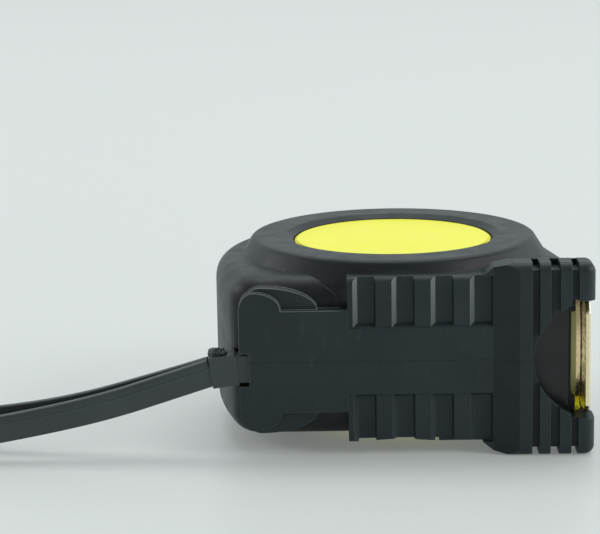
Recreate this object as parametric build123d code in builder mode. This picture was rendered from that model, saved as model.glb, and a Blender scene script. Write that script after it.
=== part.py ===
"""A 5 m pocket tape measure with a wrist strap, lying on its side.

X runs towards the mouth, the base faces -Y, and Z is up, along the reel's axis.
"""

from build123d import *
import math
import os

os.makedirs("parts", exist_ok=True)

# Driving dimensions, in millimetres
blade_width = 25.0
blade_thickness = 0.3
blade_arch = 1.8
blade_inset = 0.4
flat_reach = 5.0
arch_reach = 15.0
nearly_flat = 0.02
coil_radius = 27.3
coil_room = 6.2
drum_radius = 18.0
drum_wall = 1.2
spindle_radius = 4.5
spindle_slot = 1.0
spring_thickness = 0.35
spring_pitch = 1.15
spring_turns = 9
spring_tail = 2.4
rubber = 2.0
base_rubber = 3.6
wall = 2.0
face_rubber = 1.8
face_shift = 1.7
face_wall = 1.9
washer_thickness = 0.4
nose_overhang = 5.0
nose_height = 15.0
wing_height = 8.0
blade_height = 8.7
foot_length = 21.0
foot_side = 3.5
foot_proud = 1.8
foot_ramp = 5.3
foot_flare = 3.2
foot_reach = 3.9
foot_ease = 0.9
foot_round = 2.0
rim_round = 5.0
case_round = 3.0
corner_round = 7.0
rear_lean = 5.5
disc_radius = 21.7
disc_recess = 0.9
disc_thickness = 0.3
disc_margin = 0.5
window_slope = 2.0
ring_base = 34.2
crest_radius = 31.0
crest_round = 1.6
hub_radius = 8.0
recess_radius = 12.6
mouth_length = 5.0
lip_setback = 4.0
mouth_rise = 4.2
groove_depth = 1.6
groove_climb = 7.0
foot_grooves = ((12.3, 1.5), (8.3, 1.9), (4.2, 1.4))
pocket_depth = 1.5
pocket_inner = 7.0
pocket_length = 5.2
pocket_pitch = 8.1
pocket_ramp = 1.3
pocket_wall = 0.5
pocket_slope = 0.9
pocket_count = 4
ledge_step = 0.35
grip_length = 30.3
grip_side = 0.8
grip_round = 2.2
spine_half = 10.9
relief_step = 1.4
plate_depth = 8.0
plate_setback = 6.0
small_lobe = (0.0, 3.2, 5.6, 3.9)
large_lobe = (0.6, 4.0, 11.8, 4.7)
hook_thickness = 0.9
hook_half = 11.9
hook_drop = 8.6
hook_inset = 1.1
hook_float = 0.9
hook_corner = 2.0
hook_shoulder = 1.0
hook_plate_back = 3.2
hook_seat = 0.2
rivet_radius = 1.1
rivet_spread = 5.0
rivet_setback = 5.0
rivet_lap = 0.7
rivet_head_height = 0.4
pad_thickness = 0.4
pad_end_thickness = 1.3
pad_end_length = 3.2
pad_inset = 0.2
screw_radius = 1.2
screw_head_radius = 2.3
screw_head_height = 1.6
driver_slot = 0.6
driver_share = 0.7
screw_bite = 3.0
screw_sink = 1.0
screw_angles = (62, 128)
rear_screw = (2.4, 1.9)
front_screw = (4.6, 2.9)
boss_radius = 2.7
boss_sink = 0.8
lock_travel = 6.0
button_length = 13.0
button_width = 12.0
button_height = 2.4
rib_count = 5
rib_pitch = 2.2
rib_width = 0.9
rib_depth = 0.6
neck_length = 8.0
neck_width = 6.0
slider_thickness = 1.6
slider_length = 16.0
slider_width = 10.0
finger_width = 8.0
finger_thickness = 1.4
finger_lap = 4.0
brake_stop = 1.75
clip_thickness = 1.0
clip_width = 18.0
clip_front_reach = 4.0
clip_rear_reach = 16.0
clip_leaf_reach = 24.0
clip_screw_back = 8.0
clip_screw_radius = 1.4
clip_head_radius = 2.6
clip_head_height = 1.2
strap_width = 5.8
strap_drop = 2.4
strap_thickness = 2.0
strap_bevel = 0.6
collar_length = 5.5
collar_tilt = 8
sleeve_wall = 0.35
pin_radius = 1.1
pin_setback = 3.0
pin_depth = 3.2
pin_seat = 2.0
pin_wall = 1.0
slot_reach = 2.6
bend_share = 0.45

# Clearances
running_gap = 0.3
blade_gap = 0.15
reel_gap = 0.4
mouth_gap = 0.7
parting_gap = 0.02
leg_gap = 0.15
floor_gap = 0.1

# How far cuts and joins pass a surface
over = 1.0

# Places that follow from the sizes above
body_width = blade_width + 2 * (reel_gap + washer_thickness + face_wall + face_rubber)
body_radius = coil_radius + coil_room + wall + rubber
length = 2 * body_radius + nose_overhang
depth = body_radius + coil_radius + blade_gap + blade_thickness + blade_height
foot_width = body_width + 2 * foot_side
front_x = length / 2
rear_x = -length / 2
top_y = depth / 2
sole_y = -depth / 2
band_y = sole_y + foot_proud
mid_z = foot_width / 2
body_low = mid_z - body_width / 2
body_high = mid_z + body_width / 2
crest_z = mid_z + foot_width / 2
case_low = body_low + face_rubber
case_high = body_high - face_rubber
inner_low = case_low + face_wall
inner_high = case_high - face_wall
reel_x = rear_x + body_radius
reel_y = top_y - body_radius
face_x = reel_x + face_shift
nose_y = sole_y + nose_height
foot_rear = front_x - foot_length
blade_top_y = reel_y - coil_radius - blade_gap
blade_low_y = blade_top_y - blade_thickness
lip_y = blade_low_y - mouth_gap
recess_y = band_y + base_rubber
mouth_top_y = lip_y + mouth_rise
mouth_x = front_x - mouth_length
blade_half = blade_width / 2 - blade_inset
mouth_half = blade_width / 2
lip_corners = (
    (foot_rear + lip_setback, recess_y, mid_z - mouth_half),
    (mouth_x, lip_y, mid_z + mouth_half),
)
hook_x = front_x - hook_inset - hook_thickness

# The front slope touches the round of the body and ends at the nose
nose_reach = math.hypot(front_x - reel_x, nose_y - reel_y)
nose_angle = math.atan2(nose_y - reel_y, front_x - reel_x)
touch_angle = nose_angle + math.acos(body_radius / nose_reach)
slope_top = Vector(
    reel_x + body_radius * math.cos(touch_angle), reel_y + body_radius * math.sin(touch_angle)
)
slope_low = Vector(front_x, nose_y)
slope_plane = Plane(
    origin=(slope_top + slope_low) / 2 + Vector(0, 0, mid_z),
    x_dir=slope_low - slope_top,
    z_dir=(math.cos(touch_angle), math.sin(touch_angle), 0),
)


def body_outline(z, inset, base_inset):
    """The D-shaped outline of the body at height z, drawn in by inset, and by base_inset at the base."""
    base_y = band_y + base_inset - inset
    rear_base = (rear_x + rear_lean, base_y)
    with BuildSketch(Plane.XY.offset(z)) as outline:
        with BuildLine():
            ThreePointArc(slope_top, (reel_x, top_y), (rear_x, reel_y))
            TangentArc((rear_x, reel_y), rear_base, tangent=(0, -1))
            Polyline(rear_base, (front_x, base_y), slope_low, slope_top)
        make_face()
        fillet(outline.vertices().sort_by(Axis.Y)[0:3], corner_round)
        if inset:
            offset(amount=-inset)
    return outline.sketch


def block(low, high, mode=Mode.ADD):
    """A block between two corners."""
    size = [b - a for a, b in zip(low, high)]
    with Locations(low):
        Box(*size, align=(Align.MIN, Align.MIN, Align.MIN), mode=mode)


def disc(center, low, high, radius, mode=Mode.ADD):
    """An upright cylinder between two heights."""
    with Locations((center[0], center[1], low)):
        Cylinder(radius, high - low, align=(Align.CENTER, Align.CENTER, Align.MIN), mode=mode)


def driver_slots(center, low, head_radius):
    """The crossed slots in the underside of a screw's head."""
    reach = driver_share * head_radius
    for x, y in ((reach, driver_slot / 2), (driver_slot / 2, reach)):
        block(
            (center[0] - x, center[1] - y, low),
            (center[0] + x, center[1] + y, low + driver_slot),
            Mode.SUBTRACT,
        )


def base_plane(y):
    """A plane that faces the base, at the given Y, with Z as its second direction."""
    return Plane.XZ.offset(-y)


def flat_patch(y, low, high):
    """A rectangle that faces the base, between two corners in X and Z."""
    with BuildSketch(base_plane(y)) as patch:
        with Locations(low):
            Rectangle(high[0] - low[0], high[1] - low[1], align=(Align.MIN, Align.MIN))
    return patch.sketch


def cut_mouth():
    """The blade's way out and the room for the hook."""
    block(
        (mouth_x, sole_y - over, mid_z - recess_radius),
        (front_x + over, mouth_top_y, mid_z + recess_radius),
        Mode.SUBTRACT,
    )
    block(
        (foot_rear, lip_y, mid_z - mouth_half),
        (front_x + over, mouth_top_y, mid_z + mouth_half),
        Mode.SUBTRACT,
    )


# Strap slot in the rear corner: open at its mouth, then covered by the base, with a pin across it
strap_z = mid_z - strap_drop
collar_x = rear_x
collar_rise = math.radians(collar_tilt)
neck_start = collar_x + collar_length * math.cos(collar_rise)
neck_z = strap_z + collar_length * math.sin(collar_rise)
neck_depth = 2 * (strap_thickness + leg_gap)
slot_half = strap_width / 2 + sleeve_wall + running_gap
slot_depth = neck_depth / 2 + sleeve_wall + running_gap
pin_x = rear_x + rear_lean + pin_setback
pin_y = band_y + pin_depth
pin_half = slot_half + pin_seat
neck_end = pin_x + pin_radius + pin_wall


def cut_strap_slot():
    """The slot that the strap's neck enters, and the holes that hold its pin."""
    block(
        (rear_x, band_y - over, neck_z - slot_half),
        (rear_x + rear_lean + slot_reach, pin_y + slot_depth, neck_z + slot_half),
        Mode.SUBTRACT,
    )
    block(
        (rear_x, pin_y - neck_depth / 2 - running_gap, neck_z - slot_half),
        (neck_end + running_gap, pin_y + slot_depth, neck_z + slot_half),
        Mode.SUBTRACT,
    )
    disc((pin_x, pin_y), neck_z - pin_half, neck_z + pin_half, pin_radius, Mode.SUBTRACT)


# Screws that hold the two case halves, clear of the coil
ring_radius = coil_radius + coil_room - boss_radius + boss_sink
screw_spots = [
    (reel_x + ring_radius * math.cos(math.radians(a)), reel_y + ring_radius * math.sin(math.radians(a)))
    for a in screw_angles
]
skin = rubber + wall
screw_spots.append((rear_x + skin + rear_screw[0] * boss_radius, band_y + skin + rear_screw[1] * boss_radius))
screw_spots.append((front_x - front_screw[0] * boss_radius, mouth_top_y + front_screw[1] * boss_radius))
screw_tip = inner_high - screw_bite
screw_seat = inner_low + screw_sink


def lock_block(center, long, wide, low, high, mode=Mode.ADD):
    """A block on the front slope: its centre down the slope, its sizes and its two heights."""
    with BuildSketch(slope_plane.offset(low)) as base:
        with Locations((center, 0)):
            Rectangle(long, wide)
    extrude(base.sketch, amount=high - low, mode=mode)


lock_rest = -lock_travel / 2
lock_slot = neck_length + lock_travel + 2 * running_gap
lock_window = button_length + lock_travel + 2 * running_gap


# Foot: wider than the body, ramped up at its rear and hollowed round the face
half_foot = foot_width / 2
half_body = body_width / 2
with BuildPart() as foot:
    with BuildSketch(base_plane(sole_y)):
        with BuildLine():
            Polyline(
                (foot_rear - foot_flare, mid_z - half_body),
                (foot_rear, mid_z - half_foot + foot_ease),
                (foot_rear + foot_reach, mid_z - half_foot),
                (front_x, mid_z - half_foot),
                (front_x, mid_z + half_foot),
                (foot_rear + foot_reach, mid_z + half_foot),
                (foot_rear, mid_z + half_foot - foot_ease),
                (foot_rear - foot_flare, mid_z + half_body),
                close=True,
            )
        make_face()
    extrude(amount=-wing_height)
    with BuildSketch(Plane.XY):
        with BuildLine():
            Polyline(
                (foot_rear - foot_flare, band_y),
                (foot_rear, band_y),
                (foot_rear + foot_ramp, sole_y),
                (front_x, sole_y),
                (front_x, sole_y + wing_height),
                (foot_rear - foot_flare, sole_y + wing_height),
                close=True,
            )
        make_face()
    extrude(amount=foot_width, mode=Mode.INTERSECT)
    front_edges = foot.faces().sort_by(Axis.X)[-1].edges()
    fillet(front_edges + foot.edges().filter_by(Axis.X), foot_round)

# Raised ring round the upper face
with BuildPart() as ring:
    with BuildSketch(Plane.XZ):
        with BuildLine():
            Polyline(
                (0, body_high - rim_round),
                (ring_base, body_high - rim_round),
                (ring_base, body_high - crest_round),
                (crest_radius, crest_z),
                (0, crest_z),
                close=True,
            )
        make_face()
    revolve(axis=Axis.Z)
    fillet(ring.edges().group_by(Axis.Z)[1:], crest_round)
ring.part.locate(Pos(face_x, reel_y, 0))

# Grip block along the base, between the rear plates and the foot
grip_rear = foot_rear - grip_length
grip_low = body_low - grip_side
grip_high = body_high + grip_side
with BuildPart() as grip_block:
    block((grip_rear, band_y, grip_low), (foot_rear + foot_ramp, band_y + plate_depth, grip_high))
    fillet(grip_block.faces().sort_by(Axis.Y)[0].edges().filter_by(Axis.X), grip_round)

# Outside of the hard case, which the jacket fits
with BuildPart() as case_solid:
    extrude(body_outline(case_low, rubber, base_rubber), amount=case_high - case_low)
    case_rims = case_solid.edges().group_by(Axis.Z)
    fillet(case_rims[0] + case_rims[-1], case_round)

# Rubber jacket, made whole and then parted
with BuildPart() as jacket:
    extrude(body_outline(body_low, 0, 2 * relief_step), amount=body_width)
    rims = jacket.edges().group_by(Axis.Z)
    fillet(rims[0] + rims[-1], rim_round)
    add(ring.part)
    add(grip_block.part)
    # Stepped plates on the rear of the base: a small round lobe on a larger, lower one
    for level, (lobe_setback, lobe_back, lobe_front, lobe_wide) in enumerate((small_lobe, large_lobe)):
        plate_rear = rear_x + plate_setback + lobe_setback
        lobe_x = plate_rear + lobe_back
        lobes = [(lobe_x, mid_z + side * spine_half) for side in (1, -1)]
        with BuildSketch(base_plane(band_y + level * relief_step)):
            with Locations(*lobes):
                Ellipse(lobe_front, lobe_wide)
            with Locations((lobe_x, mid_z)):
                Rectangle(length, 2 * body_width, align=(Align.MAX, Align.CENTER), mode=Mode.SUBTRACT)
            with Locations(*lobes):
                Ellipse(lobe_back, lobe_wide)
            with Locations((plate_rear, mid_z)):
                Rectangle(grip_rear + over - plate_rear, 2 * spine_half, align=(Align.MIN, Align.CENTER))
        extrude(amount=-plate_depth)
    add(foot.part)
    add(case_solid.part, mode=Mode.SUBTRACT)
    upper_window = (crest_z, case_high, disc_radius + window_slope)
    lower_window = (body_low, case_low, ring_base)
    for face_z, case_z, crest in (upper_window, lower_window):
        up = 1 if face_z > case_z else -1
        with BuildSketch(Plane.XZ, mode=Mode.PRIVATE) as window:
            with BuildLine():
                Polyline(
                    (0, case_z - up),
                    (disc_radius + running_gap, case_z - up),
                    (disc_radius + running_gap, face_z - up * disc_recess),
                    (crest, face_z),
                    (crest, face_z + up),
                    (0, face_z + up),
                    close=True,
                )
            make_face()
        window_cut = revolve(window.sketch, Axis.Z, mode=Mode.PRIVATE)
        add(Pos(face_x, reel_y, 0) * window_cut, mode=Mode.SUBTRACT)
    cut_mouth()
    block(*lip_corners, Mode.SUBTRACT)
    with BuildSketch(base_plane(sole_y)):
        with Locations((front_x, mid_z)):
            Circle(recess_radius)
    extrude(amount=-(recess_y - sole_y), mode=Mode.SUBTRACT)
    cut_strap_slot()
    lock_block(0, lock_window, button_width + 2 * running_gap, -rubber - over / 2, over, Mode.SUBTRACT)

    # Grip pockets in two rows, sunk from a shallow ledge, each with a ramp at its rear
    for low_z, high_z in ((mid_z + pocket_inner, grip_high), (grip_low, mid_z - pocket_inner)):
        block((grip_rear, band_y, low_z), (foot_rear, band_y + ledge_step, high_z), Mode.SUBTRACT)
        upper = low_z > mid_z
        floor_low = low_z + pocket_slope if upper else low_z
        floor_high = high_z if upper else high_z - pocket_slope
        for pocket in range(pocket_count):
            pocket_front = foot_rear - pocket * pocket_pitch
            pocket_rear = pocket_front - pocket_length
            opening = flat_patch(band_y, (pocket_rear, low_z), (pocket_front, high_z))
            floor_low_corner = (pocket_rear + pocket_ramp, floor_low)
            floor_high_corner = (pocket_front - pocket_wall, floor_high)
            floor = flat_patch(band_y + pocket_depth, floor_low_corner, floor_high_corner)
            loft([opening, floor], ruled=True, mode=Mode.SUBTRACT)

    # Grooves across the sole of the foot, carried round its sides
    for groove_back, groove_wide in foot_grooves:
        with BuildSketch(base_plane(sole_y)):
            with Locations((front_x - groove_back, mid_z)):
                Rectangle(groove_wide, 2 * foot_width)
                Rectangle(groove_wide, foot_width - 2 * groove_depth, mode=Mode.SUBTRACT)
        extrude(amount=-groove_climb, mode=Mode.SUBTRACT)
        with BuildSketch(base_plane(sole_y)):
            with Locations((front_x - groove_back, mid_z)):
                Rectangle(groove_wide, 2 * foot_width)
        extrude(amount=-groove_depth, mode=Mode.SUBTRACT)
    for spot in screw_spots:
        disc(spot, 0, case_low + over, screw_head_radius + running_gap, Mode.SUBTRACT)

with BuildPart() as grip_upper:
    add(jacket.part)
    split(bisect_by=Plane.XY.offset(mid_z + parting_gap), keep=Keep.TOP)
grip_upper.part.label = "grip_upper"
export_step(grip_upper.part, "parts/grip_upper.step")

with BuildPart() as grip_lower:
    add(jacket.part)
    split(bisect_by=Plane.XY.offset(mid_z - parting_gap), keep=Keep.BOTTOM)
grip_lower.part.label = "grip_lower"
export_step(grip_lower.part, "parts/grip_lower.step")


# Hard case, made whole and then parted, with a hollow pan behind the upper face
upper_disc_z = crest_z - disc_recess - disc_thickness
lower_disc_z = body_low + disc_recess + disc_thickness
with BuildPart() as case:
    add(case_solid.part)
    disc((face_x, reel_y), lower_disc_z, upper_disc_z, disc_radius)
    room = body_outline(inner_low, rubber + wall, base_rubber + wall)
    extrude(room, amount=inner_high - inner_low, mode=Mode.SUBTRACT)
    pan_top = upper_disc_z - face_wall
    disc((face_x, reel_y), inner_high, pan_top, disc_radius - face_wall, Mode.SUBTRACT)
    disc((reel_x, reel_y), inner_high, pan_top, hub_radius)
    block(*lip_corners, Mode.SUBTRACT)
    for spot in screw_spots:
        disc(spot, inner_low, inner_high, boss_radius)
        disc(spot, 0, screw_tip, screw_radius, Mode.SUBTRACT)
        disc(spot, 0, screw_seat + screw_head_height, screw_head_radius, Mode.SUBTRACT)
    cut_mouth()
    cut_strap_slot()
    lock_block(0, lock_slot, neck_width + 2 * running_gap, -skin - over / 2, 0, Mode.SUBTRACT)

with BuildPart() as case_upper:
    add(case.part)
    split(bisect_by=Plane.XY.offset(mid_z), keep=Keep.TOP)
case_upper.part.label = "case_upper"
export_step(case_upper.part, "parts/case_upper.step")

clip_screw_spot = (reel_x - clip_screw_back, reel_y)
clip_screw_tip = inner_low - face_wall / 3
with BuildPart() as case_lower:
    add(case.part)
    split(bisect_by=Plane.XY.offset(mid_z), keep=Keep.BOTTOM)
    disc(clip_screw_spot, 0, clip_screw_tip, clip_screw_radius, Mode.SUBTRACT)
case_lower.part.label = "case_lower"
export_step(case_lower.part, "parts/case_lower.step")

# Plain discs in the round windows
with BuildPart() as face_disc_upper:
    disc((face_x, reel_y), upper_disc_z, upper_disc_z + disc_thickness, disc_radius - disc_margin)
face_disc_upper.part.label = "face_disc_upper"
export_step(face_disc_upper.part, "parts/face_disc_upper.step")

with BuildPart() as face_disc_lower:
    disc((face_x, reel_y), lower_disc_z - disc_thickness, lower_disc_z, disc_radius - disc_margin)
    disc(clip_screw_spot, 0, mid_z, clip_screw_radius, Mode.SUBTRACT)
face_disc_lower.part.label = "face_disc_lower"
export_step(face_disc_lower.part, "parts/face_disc_lower.step")

# Fixed spindle, slotted for the inner end of the spring
with BuildPart() as spindle:
    disc((reel_x, reel_y), inner_low, inner_high, spindle_radius)
    slot_low = inner_low + washer_thickness + reel_gap + drum_wall
    block(
        (reel_x, reel_y - spindle_slot / 2, slot_low),
        (reel_x + spindle_radius + over, reel_y + spindle_slot / 2, inner_high + over),
        Mode.SUBTRACT,
    )
spindle.part.label = "spindle"
export_step(spindle.part, "parts/spindle.step")

# Power spring: half-turn arcs about two centres, so that each joins the next smoothly
spring_start = spindle_radius + running_gap + spring_thickness / 2
spring_low = slot_low + running_gap
spring_high = inner_high - washer_thickness - 2 * reel_gap
half_turns = 2 * spring_turns
with BuildPart() as power_spring:
    with BuildSketch(Plane((reel_x, reel_y, spring_low))):
        with BuildLine():
            for turn in range(half_turns):
                middle = (0, 0) if turn % 2 == 0 else (spring_pitch / 2, 0)
                radius = spring_start + turn * spring_pitch / 2
                for edge in (-spring_thickness / 2, spring_thickness / 2):
                    CenterArc(middle, radius + edge, 180 * (turn % 2), 180)
            spring_end = spring_start + half_turns * spring_pitch / 2
            for x in (spring_start, spring_end):
                Line((x - spring_thickness / 2, 0), (x + spring_thickness / 2, 0))
        make_face()
        with Locations((spindle_radius - spring_tail, -spring_thickness)):
            Rectangle(
                spring_start + spring_thickness / 2 - spindle_radius + spring_tail,
                spring_thickness,
                align=(Align.MIN, Align.MIN),
            )
    extrude(amount=spring_high - spring_low)
power_spring.part.label = "power_spring"
export_step(power_spring.part, "parts/power_spring.step")
print("least gap in the power spring", round(spring_pitch - spring_thickness, 3))

# Reel: a drum with one web, which runs on the spindle, and two slip washers
reel_low = mid_z - blade_width / 2
reel_high = mid_z + blade_width / 2
with BuildPart() as reel_drum:
    disc((reel_x, reel_y), reel_low, reel_high, drum_radius)
    disc((reel_x, reel_y), reel_low + drum_wall, reel_high + over, drum_radius - drum_wall, Mode.SUBTRACT)
    disc((reel_x, reel_y), reel_low - over, reel_high, spindle_radius + blade_gap, Mode.SUBTRACT)
reel_drum.part.label = "reel_drum"
export_step(reel_drum.part, "parts/reel_drum.step")

with BuildPart() as blade_coil:
    disc((reel_x, reel_y), reel_low, reel_high, coil_radius)
    disc((reel_x, reel_y), reel_low - over, reel_high + over, drum_radius, Mode.SUBTRACT)
blade_coil.part.label = "blade_coil"
export_step(blade_coil.part, "parts/blade_coil.step")

with BuildPart() as reel_washer_upper:
    disc((reel_x, reel_y), inner_high - washer_thickness, inner_high, coil_radius)
    disc((reel_x, reel_y), 0, inner_high + over, spindle_radius, Mode.SUBTRACT)
reel_washer_upper.part.label = "reel_washer_upper"
export_step(reel_washer_upper.part, "parts/reel_washer_upper.step")

with BuildPart() as reel_washer_lower:
    disc((reel_x, reel_y), inner_low, inner_low + washer_thickness, coil_radius)
    disc((reel_x, reel_y), 0, inner_high, spindle_radius, Mode.SUBTRACT)
reel_washer_lower.part.label = "reel_washer_lower"
export_step(reel_washer_lower.part, "parts/reel_washer_lower.step")


def arched_strip(x, half, low_y, thick, arch):
    """A strip's section across the blade at x, its edges raised above its middle by arch."""
    with BuildSketch(Plane.YZ.offset(x)) as section:
        with BuildLine():
            ThreePointArc((low_y + arch, mid_z - half), (low_y, mid_z), (low_y + arch, mid_z + half))
            Line((low_y + arch, mid_z + half), (low_y + thick + arch, mid_z + half))
            ThreePointArc(
                (low_y + thick + arch, mid_z + half),
                (low_y + thick, mid_z),
                (low_y + thick + arch, mid_z - half),
            )
            Line((low_y + thick + arch, mid_z - half), (low_y + arch, mid_z - half))
        make_face()
    return section.sketch


def arch_at(z):
    """How far the arched blade has risen at a distance from its middle."""
    return blade_arch * (z / blade_half) ** 2


# Straight end of the blade: flat where it leaves the coil, arched from there to the hook
flat_end = reel_x + flat_reach
arch_start = reel_x + arch_reach
tongue_end = hook_x - hook_float - hook_seat
rivet_x = mouth_x - rivet_setback
rivet_spots = [(rivet_x, mid_z - rivet_spread), (rivet_x, mid_z + rivet_spread)]
with BuildPart() as blade_tongue:
    flat_section = arched_strip(flat_end, blade_half, blade_low_y, blade_thickness, nearly_flat)
    arched_section = arched_strip(arch_start, blade_half, blade_low_y, blade_thickness, blade_arch)
    extrude(flat_section, amount=reel_x - flat_end)
    loft([flat_section, arched_section], ruled=True)
    extrude(arched_section, amount=tongue_end - arch_start)
    with BuildSketch(base_plane(lip_y)):
        with Locations(*rivet_spots):
            Circle(rivet_radius)
    extrude(amount=-mouth_rise, mode=Mode.SUBTRACT)
blade_tongue.part.label = "blade_tongue"
export_step(blade_tongue.part, "parts/blade_tongue.step")

# End hook: an arched plate on the blade and a straight leg in front of it
plate_y = blade_top_y + blade_gap
plate_half = hook_half - hook_shoulder
plate_arch = arch_at(plate_half)
with BuildPart() as end_hook:
    plate_back = rivet_x - hook_plate_back
    plate_section = arched_strip(plate_back, plate_half, plate_y, hook_thickness, plate_arch)
    extrude(plate_section, amount=hook_x - plate_back)
    with BuildSketch(Plane.YZ.offset(hook_x)):
        with BuildLine():
            ThreePointArc(
                (plate_y + hook_thickness + plate_arch, mid_z - plate_half),
                (plate_y + hook_thickness, mid_z),
                (plate_y + hook_thickness + plate_arch, mid_z + plate_half),
            )
            Polyline(
                (plate_y + hook_thickness + plate_arch, mid_z + plate_half),
                (plate_y, mid_z + hook_half),
                (plate_y - hook_drop + hook_corner, mid_z + hook_half),
                (plate_y - hook_drop, mid_z + hook_half - hook_corner),
                (plate_y - hook_drop, mid_z - hook_half + hook_corner),
                (plate_y - hook_drop + hook_corner, mid_z - hook_half),
                (plate_y, mid_z - hook_half),
                (plate_y + hook_thickness + plate_arch, mid_z - plate_half),
            )
        make_face()
    extrude(amount=hook_thickness)
    with BuildSketch(base_plane(lip_y)):
        with Locations(*[(x - hook_float / 2, z) for x, z in rivet_spots]):
            slot_radius = rivet_radius + blade_gap
            SlotCenterToCenter(hook_float, 2 * slot_radius)
    extrude(amount=-mouth_rise, mode=Mode.SUBTRACT)
end_hook.part.label = "end_hook"
export_step(end_hook.part, "parts/end_hook.step")

rivet_head = rivet_radius + rivet_lap
head_low = blade_low_y + arch_at(rivet_spread - rivet_head)
head_high = plate_y + hook_thickness + arch_at(rivet_spread + rivet_head) + blade_gap
with BuildPart() as hook_rivets:
    for low, high, radius in (
        (head_low, head_high, rivet_radius),
        (head_low - rivet_head_height, head_low, rivet_head),
        (head_high, head_high + rivet_head_height, rivet_head),
    ):
        with BuildSketch(base_plane(low)):
            with Locations(*rivet_spots):
                Circle(radius)
        extrude(amount=low - high)
hook_rivets.part.label = "hook_rivets"
export_step(hook_rivets.part, "parts/hook_rivets.step")

# Guide block under the blade at the mouth, and the stop pad on its front edge
with BuildPart() as mouth_plate:
    block(*lip_corners)
mouth_plate.part.label = "mouth_plate"
export_step(mouth_plate.part, "parts/mouth_plate.step")

pad_half = recess_radius - pad_inset
pad_high = lip_y - running_gap
with BuildPart() as hook_bumper:
    block((mouth_x, recess_y, mid_z - pad_half), (mouth_x + pad_thickness, pad_high, mid_z + pad_half))
    for low_z in (mid_z - pad_half, mid_z + pad_half - pad_end_length):
        block((mouth_x, recess_y, low_z), (mouth_x + pad_end_thickness, pad_high, low_z + pad_end_length))
hook_bumper.part.label = "hook_bumper"
export_step(hook_bumper.part, "parts/hook_bumper.step")

# Thumb lock: the ribbed button outside, and the slider inside with its brake finger
button_low = -rubber + running_gap
slider_top = -skin - running_gap
brake_drop = slider_top - slider_thickness
with BuildPart() as lock_button:
    lock_block(lock_rest, button_length, button_width, button_low, button_height)
    rib_low = button_height - rib_depth
    for rib in range(rib_count):
        rib_x = lock_rest + (rib - (rib_count - 1) / 2) * rib_pitch
        lock_block(rib_x, rib_width, button_width + over, rib_low, button_height + over, Mode.SUBTRACT)
    lock_block(lock_rest, neck_length, neck_width, slider_top, button_low)
lock_button.part.label = "lock_button"
export_step(lock_button.part, "parts/lock_button.step")

slope_run = slope_low - slope_top
brake_end = slope_run.length / 2 + (nose_y - mouth_top_y - brake_stop) / abs(slope_run.normalized().Y)
brake_reach = brake_end - lock_travel
with BuildPart() as lock_slider:
    lock_block(lock_rest, slider_length, slider_width, brake_drop, slider_top)
    finger_length = brake_reach - lock_rest - finger_lap
    finger_low = brake_drop - finger_thickness
    lock_block(brake_reach - finger_length / 2, finger_length, finger_width, finger_low, brake_drop)
lock_slider.part.label = "lock_slider"
export_step(lock_slider.part, "parts/lock_slider.step")

# Case screws, entered from the lower side
with BuildPart() as case_screws:
    for spot in screw_spots:
        disc(spot, screw_seat + screw_head_height, screw_tip, screw_radius)
        disc(spot, screw_seat, screw_seat + screw_head_height, screw_head_radius)
        driver_slots(spot, screw_seat, screw_head_radius)
case_screws.part.label = "case_screws"
export_step(case_screws.part, "parts/case_screws.step")

# Belt clip on the lower face: a fixed leaf, a round bend and a springy leaf that the part lies on
clip_front = reel_x + clip_front_reach
clip_rear = reel_x - clip_rear_reach
leaf_rear = reel_x - clip_leaf_reach
leaf_low = lower_disc_z - disc_thickness - clip_thickness
bend_radius = (leaf_low + clip_thickness) / 2
with BuildPart() as belt_clip:
    with BuildSketch(base_plane(reel_y + clip_width / 2)):
        with BuildLine():
            Line((clip_rear, leaf_low + clip_thickness), (clip_front, leaf_low + clip_thickness))
            RadiusArc((clip_front, leaf_low + clip_thickness), (clip_front, 0), bend_radius)
            Line((clip_front, 0), (leaf_rear, 0))
            Line((leaf_rear, 0), (leaf_rear, clip_thickness))
            Line((leaf_rear, clip_thickness), (clip_front, clip_thickness))
            RadiusArc((clip_front, clip_thickness), (clip_front, leaf_low), clip_thickness - bend_radius)
            Line((clip_front, leaf_low), (clip_rear, leaf_low))
            Line((clip_rear, leaf_low), (clip_rear, leaf_low + clip_thickness))
        make_face()
    extrude(amount=clip_width)
    disc(clip_screw_spot, 0, mid_z, clip_screw_radius, Mode.SUBTRACT)
    disc(clip_screw_spot, 0, clip_thickness, clip_head_radius + running_gap, Mode.SUBTRACT)
belt_clip.part.label = "belt_clip"
export_step(belt_clip.part, "parts/belt_clip.step")

with BuildPart() as clip_screw:
    disc(clip_screw_spot, leaf_low, clip_screw_tip, clip_screw_radius)
    disc(clip_screw_spot, leaf_low - clip_head_height, leaf_low, clip_head_radius)
    driver_slots(clip_screw_spot, leaf_low - clip_head_height, clip_head_radius)
clip_screw.part.label = "clip_screw"
export_step(clip_screw.part, "parts/clip_screw.step")

# Strap holder: a pin across the slot, and a sleeve whose ridged neck goes round it
with BuildPart() as strap_pin:
    disc((pin_x, pin_y), neck_z - pin_half, neck_z + pin_half, pin_radius)
strap_pin.part.label = "strap_pin"
export_step(strap_pin.part, "parts/strap_pin.step")

sleeve_high = strap_width + 2 * sleeve_wall
with BuildPart() as strap_collar:
    with Locations(Location((collar_x, pin_y, strap_z), (0, -collar_tilt, 0))):
        Box(
            collar_length,
            neck_depth + 2 * sleeve_wall,
            sleeve_high,
            align=(Align.MIN, Align.CENTER, Align.CENTER),
        )
    block(
        (neck_start - over, pin_y - neck_depth / 2, neck_z - strap_width / 2),
        (neck_end, pin_y + neck_depth / 2, neck_z + strap_width / 2),
    )
    disc((pin_x, pin_y), 0, foot_width, pin_radius, Mode.SUBTRACT)
strap_collar.part.label = "strap_collar"
export_step(strap_collar.part, "parts/strap_collar.step")

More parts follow.
